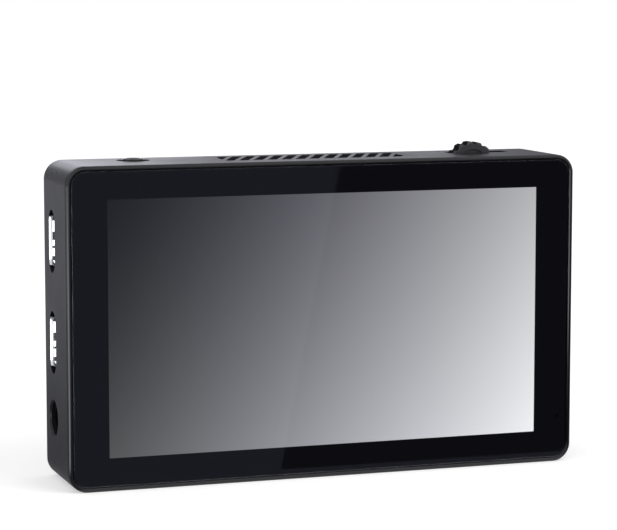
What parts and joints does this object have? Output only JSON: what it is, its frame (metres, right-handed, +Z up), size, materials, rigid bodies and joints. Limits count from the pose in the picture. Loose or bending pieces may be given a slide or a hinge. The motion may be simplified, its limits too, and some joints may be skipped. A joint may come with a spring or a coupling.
{
  "type": "camera field monitor",
  "caption": "Flat on-camera screen in a rounded housing, with two video sockets, a power socket, a headphone socket, a push-to-select menu wheel and a battery bay in the back.",
  "frame": {"origin": "on the standing surface, under the middle of the overall box", "axes": "+X to the right seen from the front, along the width; +Y from the screen to the back; +Z up"},
  "size_m": [0.1564, 0.03, 0.097],
  "materials": {
    "housing": "fine grain, satin",
    "frame": "satin",
    "grille": "fine grain, satin",
    "cover_glass": "polished, with a coating against glare",
    "black_print": "printed",
    "adhesive": "matt",
    "panel": "smooth",
    "white_sheet": "matt",
    "clear_plastic": "clear",
    "light_diodes": "matt",
    "tray_sheet": "bright",
    "foam": "open foam",
    "steel": "plain",
    "dark_screw": "blackened",
    "socket_shell": "nickel plated",
    "contacts": "gold plated",
    "black_plastic": "matt",
    "circuit_board": "varnished",
    "ribbon": "smooth",
    "chip": "matt",
    "thermal_pad": "matt",
    "heat_sink": "anodised",
    "capacitor": "plain",
    "wheel": "satin",
    "insert": "plain",
    "window": "clear"
  },
  "bodies": {
    "monitor": {"front_frame": "frame", "cover_glass": "cover_glass", "border_mask": "black_print", "glass_tape": "adhesive", "light_sensor": "chip", "lcd_panel": "panel", "diffuser_sheet": "white_sheet", "light_guide": "clear_plastic", "led_strip": "light_diodes", "backlight_tray": "tray_sheet", "foam_pads": "foam", "chassis_plate": "tray_sheet", "plate_screws": "steel", "display_ribbon": "ribbon", "ribbon_socket": "white_sheet", "main_board": "circuit_board", "board_screws": "steel", "main_chip": "chip", "thermal_pad": "thermal_pad", "heat_sink": "heat_sink", "small_screws": "steel", "power_coils": "chip", "capacitors": "capacitor", "video_shell_upper": "socket_shell", "video_core_upper": "black_plastic", "video_shell_lower": "socket_shell", "video_core_lower": "black_plastic", "video_contacts": "contacts", "power_socket": "black_plastic", "power_pin": "contacts", "headphone_socket": "black_plastic", "headphone_collar": "black_plastic", "guide_pins": "steel", "wheel_bracket": "tray_sheet", "wheel_board": "circuit_board", "press_switch": "black_plastic", "status_light": "light_diodes", "light_pipe": "window", "rear_housing": "housing", "top_grille": "grille", "housing_screws": "dark_screw", "battery_plate": "black_plastic", "plate_fixings": "dark_screw", "contact_block": "black_plastic", "battery_contacts": "contacts", "catch_spring": "steel", "insert_bottom": "insert", "insert_side": "insert"},
    "wheel_carrier": {"wheel_yoke": "black_plastic", "switch_plunger": "white_sheet", "wheel_encoder": "black_plastic"},
    "wheel": {"menu_wheel": "wheel", "wheel_axle": "steel"},
    "catch": {"release_catch": "frame"}
  },
  "joints": [
    {"name": "wheel_press", "type": "slide", "parent": "monitor", "child": "wheel_carrier", "axis": [0, 0, -1], "range_m": [0, 0.0005], "stiffness_N_per_m": 2000, "springref_m": -0.0005},
    {"name": "wheel_turn", "type": "hinge", "parent": "wheel_carrier", "child": "wheel", "pos_m": [0.05225, 0.0042, 0.0894], "axis": [0, 1, 0], "continuous": true},
    {"name": "catch_press", "type": "slide", "parent": "monitor", "child": "catch", "axis": [0, -1, 0], "range_m": [0, 0.002], "stiffness_N_per_m": 500, "springref_m": -0.002, "deforming": ["catch_spring"]}
  ]
}
